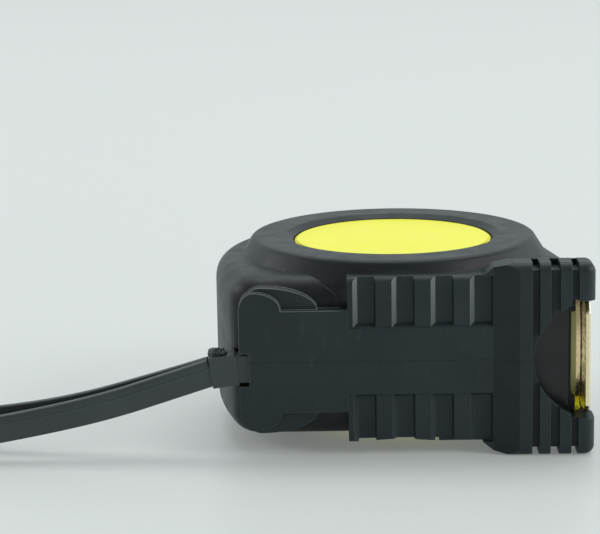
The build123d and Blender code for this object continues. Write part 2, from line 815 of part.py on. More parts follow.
# Wrist strap: a flat loop that leaves the sleeve, droops to the floor and comes back.
# Each point is a step back from the sleeve, an offset across it and the height of its middle.
leg_offset = strap_thickness / 2 + leg_gap
floor_height = strap_width / 2 + floor_gap
strap_steps = [
    (0, -leg_offset, strap_z),
    (9, -leg_offset - 0.4, strap_z - 2.8),
    (22, -leg_offset - 0.9, strap_z - 6.8),
    (38, -leg_offset - 1.2, strap_z - 10.2),
    (56, -leg_offset - 1.5, floor_height + 1.9),
    (74, -leg_offset - 1.9, floor_height + 0.2),
    (95, -leg_offset - 1.9, floor_height),
    (118, -leg_offset - 1.0, floor_height),
    (131, 12.5, floor_height),
    (131, 31.5, floor_height),
    (117.5, 45, floor_height),
    (98.5, 44, floor_height),
    (80, 27, floor_height),
    (63, 11.5, floor_height + 1.2),
    (45, leg_offset + 3.4, strap_z - 11.2),
    (28, leg_offset + 2.0, strap_z - 8.3),
    (12, leg_offset + 0.8, strap_z - 3.7),
    (0, leg_offset, strap_z),
]
strap_points = [Vector(collar_x - back, pin_y + across, up) for back, across, up in strap_steps]
strap_radii = []
for before, here, after in zip(strap_points, strap_points[1:], strap_points[2:]):
    shorter = min((here - before).length, (after - here).length)
    half_turn = math.radians((here - before).get_angle(after - here)) / 2
    strap_radii.append(bend_share * shorter / math.tan(half_turn))
print("strap radii", [round(radius, 1) for radius in strap_radii])
with BuildPart() as wrist_strap:
    with BuildLine() as strap_path:
        FilletPolyline(*strap_points, radius=strap_radii)
    strap_line = strap_path.wire()
    with BuildSketch(Plane(strap_points[0], x_dir=(0, 1, 0), z_dir=strap_line % 0)) as strap_section:
        Rectangle(strap_thickness, strap_width)
        chamfer(strap_section.vertices(), strap_bevel)
    sweep(path=strap_line, binormal=strap_line.moved(Location((0, 0, foot_width))))
wrist_strap.part.label = "wrist_strap"
export_step(wrist_strap.part, "parts/wrist_strap.step")
print("strap length", round(strap_line.length, 1))
swept_volume = strap_section.sketch.area * strap_line.length
print("strap volume over section times length", round(wrist_strap.part.volume / swept_volume, 4))
print("overall", round(length, 2), round(depth, 2), round(foot_width, 2))
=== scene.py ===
"""Looks of a pocket tape measure with a rubber jacket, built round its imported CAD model."""

import math

import bpy
from bpy.props import FloatProperty, FloatVectorProperty, IntProperty, PointerProperty
from bpy.types import NodeSocket, Operator, Panel, PropertyGroup
from mathutils import Matrix, Vector


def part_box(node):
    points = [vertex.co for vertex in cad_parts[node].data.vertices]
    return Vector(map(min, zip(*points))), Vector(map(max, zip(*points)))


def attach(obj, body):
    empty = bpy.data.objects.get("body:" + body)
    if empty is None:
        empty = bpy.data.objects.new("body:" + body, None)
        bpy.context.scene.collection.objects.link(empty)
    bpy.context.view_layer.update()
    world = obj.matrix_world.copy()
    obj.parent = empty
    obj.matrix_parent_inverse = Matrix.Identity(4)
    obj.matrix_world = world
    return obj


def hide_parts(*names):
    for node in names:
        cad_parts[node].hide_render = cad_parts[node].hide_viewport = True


bl_info = {
    "name": "Pocket Tape Measure",
    "version": (1, 0, 0),
    "blender": (4, 5, 0),
    "location": "View3D > Sidebar > Tape",
    "description": "Finishes, strap, blade print and studio for a rubber-jacketed tape measure",
    "category": "Object",
}

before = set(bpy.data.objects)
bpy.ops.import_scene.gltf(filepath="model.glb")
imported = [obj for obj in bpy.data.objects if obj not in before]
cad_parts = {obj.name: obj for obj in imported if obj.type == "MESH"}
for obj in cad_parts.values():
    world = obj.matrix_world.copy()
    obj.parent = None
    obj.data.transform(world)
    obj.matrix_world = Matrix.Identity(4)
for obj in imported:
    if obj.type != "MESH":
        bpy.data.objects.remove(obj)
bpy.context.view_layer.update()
MM = 0.001

# Ranges of noise, of the soft normals' lean and of the seam that masks are made from.
NOISE_SPAN = (0.3, 0.7)
CLOUD_SPAN = (0.25, 0.75)
RUB_SPAN = (0.35, 0.75)
WORN_SPAN = (0.62, 0.8)
SCUFF_SPAN = (0.63, 0.78)
MARK_SPAN = (0.45, 0.75)
EDGE_LEAN = (0.995, 0.80)
SEAM_BAND = (0.2 * MM, 0.8 * MM)

# How far a finish varies: tones are factors of its base colour, matts add to its roughness.
MOULDED_TONES = (0.84, 1.16)
MOULDED_MATTS = (-0.06, 0.08)
PLASTIC_TONES = (0.95, 1.03)
PLASTIC_MATTS = (0, 0.14)
DISC_TONES = (0.97, 1.02)
DISC_MATTS = (-0.03, 0.03)
METAL_MATTS = (-0.08, 0.16)
LACQUER_TONES = (0.94, 1.03)
LACQUER_MATTS = (-0.04, 0.12)

# Marks on the finishes: tones as above, and the share of them that shows.
SCUFF_STRETCH = (1, 3, 0.4)
SCUFF_TONE = 3.2
SCUFF_SHARE = 0.2
# Moulded edges are lightened partly as wear and partly as a painted highlight.
EDGE_WEAR_AND_HIGHLIGHT_TONE = 3.4
EDGE_POLISH = 0.10
BRIGHT_TONE = 1.3
BRIGHT_SHARE = 0.6
WORN_TONE = 0.7
WORN_SHARE = 0.25
RUBBER_SPECULAR = 0.35
DISC_SPECULAR = 0.25

# The jacket's base: depths from the foot's sole, places along it and heights over the floor.
# Painted shade darkens the floors of the base's hollows, from the first depth to the second.
RECESS_START = 3.9 * MM
RECESS_FULL = 4.5 * MM
RECESS_SHADE_TONE = 0.2
RECESS_SHADE_SHARE = 0.85
BASE_FACING = (-0.35, -0.6)
GRIP_MIDDLE = 6 * MM
GRIP_REACH = 20 * MM
RAMP_MARGIN = 1.5 * MM
# Painted shade darkens grip ramps that face away from the light.
SHADED_TURN = (-0.2, -0.45)
SHADED_TONE = 0.05
SHADED_SHARE = 0.95
# Painted light brightens grip ramps that face the light, more so higher up.
RAMP_LIGHT_TURN = (0.3, 0.6)
PAINTED_LIGHT_HEIGHTS = (14 * MM, 36 * MM)
PAINTED_LIGHT_SHARES = (0.1, 0.85)
PLATE_FRONT = (-12 * MM, -14 * MM)
# Painted highlight on the rims of the rear plates.
RIM_HIGHLIGHT_TONE = 2.4

# The strap's route in mm: back from its exit, across it, and up from the floor.
STRAP_POINTS = (
    (0, -1.15, 18.1),
    (9, -1.55, 15.3),
    (22, -2.05, 11.3),
    (38, -2.35, 7.9),
    (56, -2.65, 4.9),
    (74, -3.05, 3.2),
    (95, -3.05, 3.0),
    (118, -2.15, 3.0),
    (131, 12.5, 3.0),
    (131, 31.5, 3.0),
    (117.5, 45, 3.0),
    (98.5, 44, 3.0),
    (80, 27, 3.0),
    (63, 11.5, 4.2),
    (45, 4.55, 6.9),
    (28, 3.15, 9.8),
    (12, 1.95, 14.4),
    (0, 1.15, 18.1),
)
STRAP_EXIT = (-40 * MM, -31.975 * MM)
STRAP_ORDER = 3
STRAP_EDGE = 0.5 * MM
EDGE_CUT = 0.3
RIB_PLACE = -0.34
RIB_REACH = 0.4 * MM
RIB_RISE = 0.3 * MM
STRAP_WELD = 0.01 * MM
STRAP_SMOOTH = math.radians(24)

# Shade on the strap's far leg, by place across it and by facing.
LOOP_SHADE = (-31.9 * MM, -30.5 * MM)
LOOP_FACING = (-0.2, -0.6)
LOOP_TONE = 0.3
LOOP_SHARE = 0.85

# The crumpled tab on the strap's sleeve.
TAB_REACH = 1.9 * MM
TAB_DROP = 0.55 * MM
TAB_SIZE = (3.0 * MM, 2.2 * MM, 1.7 * MM)
TAB_CRUMPLE = 0.5 * MM
TAB_SEED = 11
TAB_SMOOTH = math.radians(25)

# The blade's print: ticks as spacing, thickness and reach from the edge, and its numbers.
TICKS = (
    (1 * MM, 0.16 * MM, 3.0 * MM),
    (5 * MM, 0.2 * MM, 4.6 * MM),
    (10 * MM, 0.3 * MM, 6.4 * MM),
)
HOOK_THICKNESS = 0.9 * MM
BLADE_TOP = -27.96 * MM
NUMBERS = (1, 2, 3)
NUMBER_SPACING = 10 * MM
NUMBER_SIZE = 5.5 * MM
NUMBER_DEPTH = 0.01 * MM
NUMBER_TURN = (math.radians(-90), math.radians(90), 0)

# The studio. Lamps have a place, a target, a size and the property that holds their power.
FLOOR_SIZE = 6
FLOOR_PLACE = (0, 1, 0)
FLOOR_SPECULAR = 0.2
LAMPS = (
    ("back_softbox", (0.1, 0.8, 2.2), (0, 0.2, 0), (2.0, 1.2), "back_power"),
    ("side_softbox", (-1.7, 0.5, 0.9), (-0.02, 0, 0.02), (0.8, 0.8), "side_power"),
    ("front_softbox", (1.5, -0.7, 0.9), (0, 0, 0.02), (0.7, 0.7), "front_power"),
    ("right_softbox", (1.9, 0.35, 0.55), (0, 0, 0.02), (1.0, 0.9), "right_power"),
)
ROOM_FALL = {"From Min": -0.6, "From Max": 0.6, "To Min": 0.42, "To Max": 1.0}

# The camera's place, its yaw, pitch and roll in degrees, and its lens in mm.
CAMERA_PLACE = Vector((-14.5, -479.4, 133.6)) * MM
CAMERA_TURN = (-0.83, 11.8, -1.03)
CAMERA_LENS = 132
CAMERA_SENSOR = 36
CAMERA_NEAR = 0.01


def srgb(red, green, blue):
    """A linear colour from the 0 to 255 values that a screen shows."""
    values = []
    for value in (red, green, blue):
        share = value / 255
        values.append(share / 12.92 if share <= 0.04045 else ((share + 0.055) / 1.055) ** 2.4)
    return tuple(values)


def colour(name, description, red, green, blue):
    """A colour property with a screen colour as its default."""
    return FloatVectorProperty(
        name=name,
        description=description,
        subtype="COLOR",
        size=3,
        min=0,
        max=1,
        default=srgb(red, green, blue),
    )


def length(name, description, default):
    """A length property."""
    return FloatProperty(name=name, description=description, unit="LENGTH", min=0, default=default)


def power(name, description, default):
    """A lamp power property."""
    return FloatProperty(name=name, description=description, unit="POWER", min=0, default=default)


def level(name, description, default):
    """A plain property that is never below 0."""
    return FloatProperty(name=name, description=description, min=0, default=default)


class TapeFinishes(PropertyGroup):
    """Colours and surface sizes of the tape's pieces."""

    rubber: colour("Rubber", "Jacket, stop pad and thumb lock", 35, 46, 49)
    # Colour of the painted light on the grip ramps and the rear plates' rims.
    rubbed: colour("Painted ramp light", "Painted light on the grip ramps", 128, 131, 131)
    rubber_roughness: FloatProperty(
        name="Rubber roughness",
        description="How matt the moulded rubber is",
        subtype="FACTOR",
        min=0,
        max=1,
        default=0.46,
    )
    edge_round: length("Edge round", "Radius of the moulded edges' soft highlight", 0.3 * MM)
    disc: colour("Face disc", "Printed round face", 255, 254, 56)
    case: colour("Case", "Moulded case shells", 254, 244, 48)
    blade: colour("Blade", "Lacquer on the blade", 252, 252, 170)
    print_ink: colour("Blade print", "Ticks and numbers on the blade", 24, 24, 26)
    hook: colour("End hook", "Passivated steel of the end hook", 244, 226, 186)
    steel: colour("Steel", "Clip, spring and screws", 170, 174, 178)
    strap: colour("Strap", "Soft moulded wrist strap", 56, 64, 66)
    plastic: colour("Black plastic", "Lock slider and mouth block", 19, 22, 26)
    nylon: colour("Pale plastic", "Drum and slip washers", 226, 224, 214)


class TapeStrap(PropertyGroup):
    """Section of the wrist strap."""

    width: length("Width", "Strap width", 5.8 * MM)
    thickness: length("Thickness", "Strap thickness", 2.0 * MM)
    steps: IntProperty(name="Steps", description="Sections from point to point", min=4, default=12)


class TapeStage(PropertyGroup):
    """Floor, lamps and room light."""

    floor: colour("Floor", "Pale studio floor", 196, 201, 199)
    floor_light: colour("Floor light", "Colour of the lit sheet under the tape", 226, 232, 230)
    floor_glow: level("Floor glow", "Light that the lit sheet gives off", 0.19)
    back_power: power("Back softbox", "Power of the lamp behind", 15)
    side_power: power("Side softbox", "Power of the lamp at the strap side", 6)
    front_power: power("Front softbox", "Power of the lamp at the hook side", 10)
    right_power: power("Right softbox", "Power of the lamp in front of the mouth", 9)
    room: colour("Room", "Colour of the even light", 226, 231, 232)
    room_level: level("Room light", "Level of the even light", 0.95)


class Finish:
    """A node material under construction."""

    def __init__(self, name, base, roughness, metallic=0.0):
        self.material = bpy.data.materials.new(name)
        self.material.use_nodes = True
        self.tree = self.material.node_tree
        self.shader = self.tree.nodes["Principled BSDF"]
        self.set("Base Color", (*base, 1))
        self.set("Roughness", roughness)
        self.set("Metallic", metallic)
        self.coords = self.tree.nodes.new("ShaderNodeTexCoord").outputs["Object"]

    def set(self, name, value):
        """Gives a socket of the shader a constant."""
        self.shader.inputs[name].default_value = value

    def link(self, name, value):
        """Links a socket of the shader."""
        self.tree.links.new(value, self.shader.inputs[name])

    def feed(self, socket, value):
        """Links a socket to another one, or gives it a constant."""
        if isinstance(value, NodeSocket):
            self.tree.links.new(value, socket)
        elif socket.type == "RGBA":
            socket.default_value = (*value, 1)
        else:
            socket.default_value = value

    def add(self, kind, **values):
        """Adds a node. Its sockets are fed by name, or by number as i0, i1 and so on."""
        new = self.tree.nodes.new("ShaderNode" + kind)
        for key, value in values.items():
            if hasattr(new, key) and key not in new.inputs:
                setattr(new, key, value)
                continue
            numbered = key[0] == "i" and key[1:].isdigit()
            self.feed(new.inputs[int(key[1:]) if numbered else key], value)
        return new

    def place(self):
        """X, Y and Z of the point in the object's frame."""
        return self.add("SeparateXYZ", Vector=self.coords).outputs

    def facing(self):
        """X, Y and Z of the surface's normal."""
        return self.add("SeparateXYZ", Vector=self.add("NewGeometry").outputs["Normal"]).outputs

    def math(self, operation, first, second=0.0):
        """The result of a math node."""
        return self.add("Math", operation=operation, i0=first, i1=second).outputs[0]

    def times(self, first, second):
        """Two values multiplied."""
        return self.math("MULTIPLY", first, second)

    def apart(self, first, second):
        """How far two values are from each other."""
        return self.math("ABSOLUTE", self.math("SUBTRACT", first, second))

    def noise(self, scale, detail, stretch=(1, 1, 1)):
        """Noise over the object's frame, stretched along its axes."""
        place = self.add("Mapping", Vector=self.coords, Scale=stretch).outputs[0]
        return self.add("TexNoise", Vector=place, Scale=scale, Detail=detail).outputs["Fac"]

    def between(self, value, low, high, to_low=0.0, to_high=1.0):
        """A value mapped from one range to another and kept within it."""
        ends = {"From Min": low, "From Max": high, "To Min": to_low, "To Max": to_high}
        return self.add("MapRange", Value=value, **ends).outputs[0]

    def mix(self, share, first, second):
        """A colour between two."""
        return self.add("Mix", data_type="RGBA", i0=share, i6=first, i7=second).outputs[2]

    def over(self, body, cover, mask, share):
        """A colour with a share of another one laid over it where the mask is 1."""
        return self.mix(self.times(mask, share), body, cover)

    def tones(self, base, factors, mask):
        """A colour that runs from one tone of its base to another."""
        return self.mix(mask, *(tone(base, factor) for factor in factors))

    def matts(self, roughness, changes, value, span):
        """A roughness that varies as the value runs over its span."""
        return self.between(value, *span, *(roughness + change for change in changes))

    def edges(self, radius, samples=6, seam=None):
        """Soft normals, and a mask that is 1 on the edges. The seam at that height stays plain."""
        soft = self.add("Bevel", samples=samples, Radius=radius).outputs[0]
        flat = self.add("NewGeometry").outputs["Normal"]
        lean = self.add("VectorMath", operation="DOT_PRODUCT", i0=soft, i1=flat).outputs["Value"]
        edge = self.between(lean, *EDGE_LEAN)
        if seam is None:
            return soft, edge
        away = self.between(self.apart(self.place()["Z"], seam), *SEAM_BAND)
        kept = self.add("Mix", data_type="VECTOR", i0=away, i4=flat, i5=soft)
        return kept.outputs[1], self.times(edge, away)

    def bump(self, height, strength, distance, normal):
        """Fine relief on top of the soft normals."""
        made = self.add("Bump", Height=height, Strength=strength, Distance=distance, Normal=normal)
        self.link("Normal", made.outputs[0])


def tone(base, factor):
    """A colour made lighter or darker."""
    return tuple(min(1, value * factor) for value in base)


def hollows(finish, body, base, recess, edge):
    """Painted shade in the base's hollows and on ramps facing away, painted light on lit ramps and
    rims.
    """
    place = finish.place()
    facing = finish.facing()
    downward = finish.between(facing["Y"], *BASE_FACING)
    # Painted shade on the floors of the base's hollows.
    sunk_shade = finish.times(finish.between(place["Y"], *recess), downward)
    body = finish.over(body, tone(base, RECESS_SHADE_TONE), sunk_shade, RECESS_SHADE_SHARE)

    low = finish.math("LESS_THAN", place["Y"], recess[1] + RAMP_MARGIN)
    grip = finish.math("LESS_THAN", finish.apart(place["X"], GRIP_MIDDLE), GRIP_REACH)
    ramp = finish.times(grip, finish.times(low, downward))
    # Painted shade on grip ramps that face away from the light.
    shaded = finish.times(finish.between(facing["X"], *SHADED_TURN), ramp)
    body = finish.over(body, tone(base, SHADED_TONE), shaded, SHADED_SHARE)

    # Painted light on grip ramps that face the light, stronger higher up.
    pale = tuple(finishes().rubbed)
    share = finish.between(place["Z"], *PAINTED_LIGHT_HEIGHTS, *PAINTED_LIGHT_SHARES)
    rubbed = finish.times(finish.between(facing["X"], *RAMP_LIGHT_TURN), ramp)
    body = finish.over(body, pale, rubbed, share)
    # Painted highlight along the rims of the rear plates.
    rim_highlights = finish.times(finish.between(place["X"], *PLATE_FRONT), finish.times(low, edge))
    return finish.over(body, tone(pale, RIM_HIGHLIGHT_TONE), rim_highlights, share)


def loop_shade(finish, body, base, span):
    """The inner side of the strap's loop, darker across a span."""
    inner = finish.between(finish.place()["Y"], *span)
    inner = finish.times(inner, finish.between(finish.facing()["Y"], *LOOP_FACING))
    return finish.over(body, tone(base, LOOP_TONE), inner, LOOP_SHARE)


def moulded(
    name, base, roughness, radius, grain=1.0, wear=0.55, seam=None, recess=None, shade=None
):
    """Moulded rubber or plastic: fine grain, faint mottling, lighter edges: part wear, part
    painted highlight.
    """
    finish = Finish(name, base, roughness)
    mottle = finish.between(finish.noise(scale=70, detail=4), *NOISE_SPAN)
    scuffs = finish.between(finish.noise(scale=420, detail=5, stretch=SCUFF_STRETCH), *SCUFF_SPAN)
    soft, edge = finish.edges(radius, seam=seam)
    body = finish.tones(base, MOULDED_TONES, mottle)
    body = finish.over(body, tone(base, SCUFF_TONE), scuffs, SCUFF_SHARE)
    # Lighter edges: partly scuffed wear, partly a painted highlight.
    body = finish.over(body, tone(base, EDGE_WEAR_AND_HIGHLIGHT_TONE), edge, wear)
    if recess is not None:
        body = hollows(finish, body, base, recess, edge)
    if shade is not None:
        body = loop_shade(finish, body, base, shade)
    finish.link("Base Color", body)
    cloud = finish.noise(scale=240, detail=4)
    matt = finish.matts(roughness, MOULDED_MATTS, cloud, CLOUD_SPAN)
    finish.link("Roughness", finish.math("SUBTRACT", matt, finish.times(edge, EDGE_POLISH)))
    fine = finish.noise(scale=3800, detail=2)
    finish.bump(fine, strength=0.16 * grain, distance=0.06 * MM, normal=soft)
    return finish.material


def gloss_plastic(name, base, roughness):
    """Glossy moulded plastic with a faint orange peel and hairline rubs."""
    finish = Finish(name, base, roughness)
    cloud = finish.between(finish.noise(scale=45, detail=3), *NOISE_SPAN)
    finish.link("Base Color", finish.tones(base, PLASTIC_TONES, cloud))
    rubs = finish.noise(scale=900, detail=6, stretch=(1, 0.12, 1))
    finish.link("Roughness", finish.matts(roughness, PLASTIC_MATTS, rubs, RUB_SPAN))
    peel = finish.noise(scale=260, detail=2)
    soft = finish.edges(radius=0.3 * MM)[0]
    finish.bump(peel, strength=0.06, distance=0.04 * MM, normal=soft)
    return finish.material


def printed_disc(base, roughness):
    """A smooth printed face under a thin satin film."""
    finish = Finish("disc_yellow", base, roughness)
    cloud = finish.between(finish.noise(scale=30, detail=2), *NOISE_SPAN)
    finish.link("Base Color", finish.tones(base, DISC_TONES, cloud))
    film = finish.noise(scale=180, detail=3)
    finish.link("Roughness", finish.matts(roughness, DISC_MATTS, film, NOISE_SPAN))
    finish.set("Specular IOR Level", DISC_SPECULAR)
    return finish.material


def metal(name, base, roughness, stretch, scratch=0.5, wear=0.72, radius=0.2 * MM):
    """Bare or plated metal with drawn lines, handling marks and brighter edges."""
    finish = Finish(name, base, roughness, metallic=1.0)
    lines = finish.noise(scale=1400, detail=4, stretch=stretch)
    marks = finish.between(finish.noise(scale=160, detail=5), *MARK_SPAN)
    soft, edge = finish.edges(radius, samples=16)
    body = finish.mix(marks, base, tone(base, wear))
    finish.link("Base Color", finish.over(body, tone(base, BRIGHT_TONE), edge, BRIGHT_SHARE))
    finish.link("Roughness", finish.matts(roughness, METAL_MATTS, lines, NOISE_SPAN))
    finish.bump(lines, strength=0.2 * scratch, distance=0.03 * MM, normal=soft)
    return finish.material


def blade_print(base, roughness, ink, zero, middle, half):
    """Blade lacquer with ticks along both edges, counted from the inside of the hook."""
    finish = Finish("blade_lacquer", base, roughness)
    place = finish.place()
    run = finish.math("SUBTRACT", zero, place["X"])
    rim = finish.math("SUBTRACT", half, finish.apart(place["Z"], middle))
    ticks = 0.0
    for spacing, thick, reach in TICKS:
        near = finish.math("LESS_THAN", finish.math("PINGPONG", run, spacing / 2), thick / 2)
        line = finish.times(near, finish.math("LESS_THAN", rim, reach))
        ticks = finish.math("MAXIMUM", line, ticks)
    cloud = finish.between(finish.noise(scale=60, detail=3), *NOISE_SPAN)
    lacquer = finish.tones(base, LACQUER_TONES, cloud)
    worn = finish.between(finish.noise(scale=500, detail=5, stretch=(0.2, 1, 1)), *WORN_SPAN)
    lacquer = finish.over(lacquer, tone(base, WORN_TONE), worn, WORN_SHARE)
    finish.link("Base Color", finish.mix(ticks, lacquer, ink))
    drawn = finish.noise(scale=700, detail=4, stretch=(0.15, 1, 1))
    finish.link("Roughness", finish.matts(roughness, LACQUER_MATTS, drawn, NOISE_SPAN))
    soft = finish.edges(radius=0.1 * MM)[0]
    finish.bump(ticks, strength=0.15, distance=0.02 * MM, normal=soft)
    return finish.material


def paint(material, *names):
    """Gives CAD nodes a finish."""
    for name in names:
        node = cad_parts[name]
        node.data.materials.clear()
        node.data.materials.append(material)


def deselect():
    """Leaves edit mode and selects nothing."""
    if bpy.context.object and bpy.context.object.mode != "OBJECT":
        bpy.ops.object.mode_set(mode="OBJECT")
    bpy.ops.object.select_all(action="DESELECT")


def finishes():
    """The scene's colours and surface sizes."""
    return bpy.context.scene.tape_finishes


class TAPE_OT_stage(Operator):
    """Set the floor, lamps, room light and camera"""

    bl_idname = "tape.stage"
    bl_label = "Stage"

    def floor(self, context, stage):
        """A pale sheet that gives off a little light, so that shadows stay soft."""
        bpy.ops.mesh.primitive_plane_add(size=FLOOR_SIZE, location=FLOOR_PLACE)
        floor = context.object
        floor.name = "studio_floor"
        bpy.ops.object.transform_apply(location=True)
        finish = Finish("studio_floor", tuple(stage.floor), roughness=0.4)
        finish.set("Specular IOR Level", FLOOR_SPECULAR)
        finish.set("Emission Color", (*stage.floor_light, 1))
        finish.set("Emission Strength", stage.floor_glow)
        floor.data.materials.append(finish.material)

    def lamp(self, context, name, place, target, size, energy):
        """A rectangular softbox that faces its target."""
        data = bpy.data.lights.new(name, "AREA")
        data.shape = "RECTANGLE"
        data.size, data.size_y = size
        data.energy = energy
        lamp = bpy.data.objects.new(name, data)
        lamp.location = place
        lamp.rotation_euler = (Vector(target) - Vector(place)).to_track_quat("-Z", "Y").to_euler()
        context.scene.collection.objects.link(lamp)

    def room(self, context, stage):
        """Even light from all round, weaker from the camera's side."""
        world = bpy.data.worlds.new("studio_room")
        context.scene.world = world
        world.use_nodes = True
        nodes, links = world.node_tree.nodes, world.node_tree.links
        light = nodes["Background"]
        light.inputs["Color"].default_value = (*stage.room, 1)
        toward = nodes.new("ShaderNodeSeparateXYZ")
        links.new(nodes.new("ShaderNodeTexCoord").outputs["Generated"], toward.inputs[0])
        fall = nodes.new("ShaderNodeMapRange")
        links.new(toward.outputs["Y"], fall.inputs["Value"])
        for name, value in ROOM_FALL.items():
            fall.inputs[name].default_value = value
        scale = nodes.new("ShaderNodeMath")
        scale.operation = "MULTIPLY"
        scale.inputs[1].default_value = stage.room_level
        links.new(fall.outputs[0], scale.inputs[0])
        links.new(scale.outputs[0], light.inputs["Strength"])

    def camera(self, context):
        """The photograph's camera."""
        yaw, pitch, roll = (math.radians(turn) for turn in CAMERA_TURN)
        level = Vector((math.sin(yaw), math.cos(yaw), 0))
        ahead = level * math.cos(pitch) - Vector((0, 0, math.sin(pitch)))
        right = Vector((math.cos(yaw), -math.sin(yaw), 0))
        up = right.cross(ahead)
        leaned_right = right * math.cos(roll) + up * math.sin(roll)
        leaned_up = up * math.cos(roll) - right * math.sin(roll)
        data = bpy.data.cameras.new("studio_camera")
        data.lens = CAMERA_LENS
        data.sensor_width = CAMERA_SENSOR
        data.clip_start = CAMERA_NEAR
        camera = bpy.data.objects.new("studio_camera", data)
        turn = Matrix((leaned_right, leaned_up, -ahead)).transposed()
        camera.matrix_world = Matrix.Translation(CAMERA_PLACE) @ turn.to_4x4()
        context.scene.collection.objects.link(camera)
        context.scene.camera = camera

    def execute(self, context):
        deselect()
        stage = context.scene.tape_stage
        self.floor(context, stage)
        for name, place, target, size, energy in LAMPS:
            self.lamp(context, name, place, target, size, getattr(stage, energy))
        self.room(context, stage)
        self.camera(context)
        context.scene.view_settings.view_transform = "Standard"
        return {"FINISHED"}


class TAPE_OT_strap(Operator):
    """Lay the wrist strap along its route"""

    bl_idname = "tape.strap"
    bl_label = "Wrist strap"

    def route(self, context, size):
        """The strap's middle line, as a curve object and the points that it follows."""
        curve = bpy.data.curves.new("wrist_strap_route", "CURVE")
        curve.dimensions = "3D"
        curve.resolution_u = size.steps
        curve.twist_mode = "Z_UP"
        spline = curve.splines.new("NURBS")
        spline.points.add(len(STRAP_POINTS) - 1)
        for point, (back, across, up) in zip(spline.points, STRAP_POINTS):
            point.co = (STRAP_EXIT[0] - back * MM, STRAP_EXIT[1] + across * MM, up * MM, 1)
        spline.order_u = STRAP_ORDER
        spline.use_endpoint_u = True
        strap = bpy.data.objects.new("wrist_strap_band", curve)
        context.scene.collection.objects.link(strap)
        evaluated = strap.evaluated_get(context.evaluated_depsgraph_get())
        line = bpy.data.meshes.new_from_object(evaluated)
        path = [tuple(vertex.co) for vertex in line.vertices]
        bpy.data.meshes.remove(line)
        return strap, path

    def section(self, context, size):
        """The strap's flat section, with cut corners and a rib on each side."""
        half, thin = size.width / 2, size.thickness / 2
        rib, cut = half * RIB_PLACE, STRAP_EDGE * EDGE_CUT
        corners = [
            (half, thin - STRAP_EDGE),
            (half - cut, thin - cut),
            (half - STRAP_EDGE, thin),
            (rib + RIB_REACH, thin),
            (rib, thin + RIB_RISE),
            (rib - RIB_REACH, thin),
            (STRAP_EDGE - half, thin),
            (cut - half, thin - cut),
            (-half, thin - STRAP_EDGE),
        ]
        corners += [(-x, -y) for x, y in corners]
        curve = bpy.data.curves.new("wrist_strap_section", "CURVE")
        curve.dimensions = "2D"
        outline = curve.splines.new("POLY")
        outline.points.add(len(corners) - 1)
        for point, (x, y) in zip(outline.points, corners):
            point.co = (y, x, 0, 1)
        outline.use_cyclic_u = True
        shape = bpy.data.objects.new("wrist_strap_section", curve)
        context.scene.collection.objects.link(shape)
        return shape

    def sweep(self, context, strap, shape):
        """Turns the route into a closed mesh with that section."""
        strap.data.bevel_mode = "OBJECT"
        strap.data.bevel_object = shape
        strap.data.use_fill_caps = True
        context.view_layer.update()
        context.view_layer.objects.active = strap
        strap.select_set(True)
        bpy.ops.object.convert(target="MESH")
        bpy.data.objects.remove(shape)
        bpy.ops.object.mode_set(mode="EDIT")
        bpy.ops.mesh.select_all(action="SELECT")
        bpy.ops.mesh.remove_doubles(threshold=STRAP_WELD)
        bpy.ops.mesh.normals_make_consistent(inside=False)
        bpy.ops.object.mode_set(mode="OBJECT")
        bpy.ops.object.shade_smooth_by_angle(angle=STRAP_SMOOTH)

    def tab(self, context, vinyl):
        """The crumpled end of the strap's moulding that stands on the sleeve."""
        deselect()
        low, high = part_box("strap_collar")
        place = (low.x + TAB_REACH, (low.y + high.y) / 2, high.z - TAB_DROP)
        bpy.ops.mesh.primitive_cube_add(size=1, location=place)
        tab = context.object
        tab.name = "strap_tab"
        tab.scale = TAB_SIZE
        bpy.ops.object.transform_apply(location=True, rotation=True, scale=True)
        bpy.ops.object.mode_set(mode="EDIT")
        bpy.ops.mesh.select_all(action="SELECT")
        bpy.ops.mesh.subdivide(number_cuts=4, smoothness=0.4)
        bpy.ops.transform.vertex_random(offset=TAB_CRUMPLE, uniform=0.8, normal=0.3, seed=TAB_SEED)
        bpy.ops.object.mode_set(mode="OBJECT")
        bpy.ops.object.shade_smooth_by_angle(angle=TAB_SMOOTH)
        tab.data.materials.append(vinyl)
        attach(tab, "case")

    def execute(self, context):
        deselect()
        size = context.scene.tape_strap
        strap, path = self.route(context, size)
        self.sweep(context, strap, self.section(context, size))
        # The strap's edges and rib are lightened, partly as wear and partly as a painted
        # highlight.
        vinyl = moulded(
            "strap_vinyl",
            tuple(finishes().strap),
            roughness=0.42,
            radius=0.25 * MM,
            grain=0.7,
            wear=1.0,
            shade=LOOP_SHADE,
        )
        strap.data.materials.clear()
        strap.data.materials.append(vinyl)
        self.tab(context, vinyl)
        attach(strap, "case")
        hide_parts("wrist_strap")
        return {"FINISHED"}


